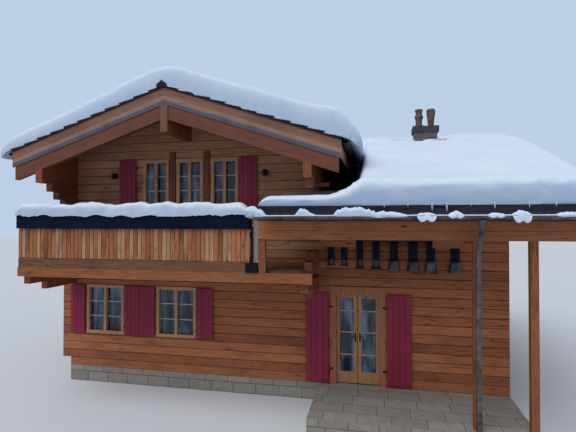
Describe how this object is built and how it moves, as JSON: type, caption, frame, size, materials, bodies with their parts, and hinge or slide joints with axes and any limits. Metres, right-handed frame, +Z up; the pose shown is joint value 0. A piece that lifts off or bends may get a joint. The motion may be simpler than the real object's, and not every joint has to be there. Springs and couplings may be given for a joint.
{
  "type": "alpine chalet",
  "caption": "Squared-log chalet with a snow-covered gable roof, a balcony, red shutters and a lower wing with a porch, a double glazed door and a row of cow bells.",
  "frame": {"origin": "on the ground, at the middle of the main block's footprint", "axes": "+X towards the wing, +Y from the entrance front to the rear, +Z up"},
  "size_m": [12.36, 11.485, 7.44],
  "materials": {
    "masonry": "rough rendered masonry",
    "floor_boards": "planed boards",
    "log_wall": "oiled honey brown squared logs",
    "gable_logs": "sun-browned squared logs",
    "red_timber": "stained reddish brown timber",
    "weathered_board": "brown boards, weathered grey along the lower edge",
    "roof_tile": "dark fibre tiles, matt",
    "sheet_metal": "dull weathered sheet metal",
    "chimney_stone": "dark rendered masonry",
    "terracotta": "smoke-stained fired clay",
    "balcony_timber": "weathered beam",
    "balcony_boards": "orange tan upright boards",
    "planter_wood": "dark wet wood",
    "lintel_timber": "orange tan planks with knots",
    "frame_wood": "varnished light wood",
    "pane_glass": "clear window glass over a dark room",
    "shutter_paint": "burgundy paint, satin",
    "dark_iron": "blackened iron",
    "bell_bronze": "tarnished sheet bronze",
    "strap_leather": "dark blue-black leather",
    "rail_wood": "brown board and rod",
    "lamp_metal": "dark painted metal",
    "snow": null
  },
  "bodies": {
    "root": {"foundation": "masonry", "ground_floor": "floor_boards", "upper_floor": "floor_boards", "front_wall": "log_wall", "front_gable": "gable_logs", "left_wall": "gable_logs", "right_wall": "gable_logs", "rear_wall": "log_wall", "wing_wall_beside_door": "log_wall", "wing_front_wall": "log_wall", "wing_wall_over_door": "log_wall", "wing_end_wall": "log_wall", "wing_rear_wall": "log_wall", "crossed_log_ends": "gable_logs", "corbel_logs": "gable_logs", "purlins": "red_timber", "verge_rafters": "red_timber", "verge_boards": "weathered_board", "main_roof_left": "roof_tile", "main_roof_right": "roof_tile", "porch_roof": "roof_tile", "wing_roof_front": "roof_tile", "wing_roof_rear": "roof_tile", "gutters": "sheet_metal", "downpipe": "sheet_metal", "chimney_stack": "chimney_stone", "chimney_pots": "terracotta", "balcony_deck": "floor_boards", "balcony_beam": "balcony_timber", "balcony_panel": "balcony_boards", "balcony_end_post": "weathered_board", "planter_boxes": "planter_wood", "porch_posts": "red_timber", "porch_lintel": "lintel_timber", "window_frames": "frame_wood", "window_glass": "pane_glass", "gable_posts": "red_timber", "door_frame": "frame_wood", "hinge_pins": "dark_iron", "cow_bells": "bell_bronze", "bell_straps": "strap_leather", "bell_rail": "rail_wood", "wall_lamps": "lamp_metal", "porch_fascia": "weathered_board", "main_roof_snow": "snow", "wing_roof_snow": "snow", "porch_roof_snow": "snow", "balcony_snow": "snow"},
    "door_leaf_left": {"door_leaf_left": "frame_wood", "door_glass_left": "pane_glass"},
    "door_leaf_right": {"door_leaf_right": "frame_wood", "door_glass_right": "pane_glass"},
    "door_shutter_left": {"door_shutter_left": "shutter_paint"},
    "door_shutter_right": {"door_shutter_right": "shutter_paint"},
    "gable_shutter_left": {"gable_shutter_left": "shutter_paint"},
    "gable_shutter_right": {"gable_shutter_right": "shutter_paint"},
    "window_a_shutter_left": {"window_a_shutter_left": "shutter_paint"},
    "window_a_shutter_right": {"window_a_shutter_right": "shutter_paint"},
    "window_b_shutter_left": {"window_b_shutter_left": "shutter_paint"},
    "window_b_shutter_right": {"window_b_shutter_right": "shutter_paint"}
  },
  "joints": [
    {"name": "door_leaf_left_hinge", "type": "hinge", "parent": "root", "child": "door_leaf_left", "pos_m": [3.573, -3.888, 0], "axis": [0, 0, 1], "range_deg": [0, 90]},
    {"name": "door_leaf_right_hinge", "type": "hinge", "parent": "root", "child": "door_leaf_right", "pos_m": [4.547, -3.888, 0], "axis": [0, 0, 1], "range_deg": [-90, 0]},
    {"name": "door_shutter_left_hinge", "type": "hinge", "parent": "root", "child": "door_shutter_left", "pos_m": [3.43, -4.051, 0], "axis": [0, 0, 1], "range_deg": [0, 180]},
    {"name": "door_shutter_right_hinge", "type": "hinge", "parent": "root", "child": "door_shutter_right", "pos_m": [4.69, -4.051, 0], "axis": [0, 0, 1], "range_deg": [-180, 0]},
    {"name": "gable_shutter_left_hinge", "type": "hinge", "parent": "root", "child": "gable_shutter_left", "pos_m": [-1.349, -4.051, 0], "axis": [0, 0, 1], "range_deg": [0, 180]},
    {"name": "gable_shutter_right_hinge", "type": "hinge", "parent": "root", "child": "gable_shutter_right", "pos_m": [1.289, -4.051, 0], "axis": [0, 0, 1], "range_deg": [-180, 0]},
    {"name": "window_a_shutter_left_hinge", "type": "hinge", "parent": "root", "child": "window_a_shutter_left", "pos_m": [-2.754, -4.051, 0], "axis": [0, 0, 1], "range_deg": [0, 180]},
    {"name": "window_a_shutter_right_hinge", "type": "hinge", "parent": "root", "child": "window_a_shutter_right", "pos_m": [-1.686, -4.051, 0], "axis": [0, 0, 1], "range_deg": [-180, 0]},
    {"name": "window_b_shutter_left_hinge", "type": "hinge", "parent": "root", "child": "window_b_shutter_left", "pos_m": [-0.834, -4.051, 0], "axis": [0, 0, 1], "range_deg": [0, 180]},
    {"name": "window_b_shutter_right_hinge", "type": "hinge", "parent": "root", "child": "window_b_shutter_right", "pos_m": [0.234, -4.051, 0], "axis": [0, 0, 1], "range_deg": [-180, 0]}
  ]
}
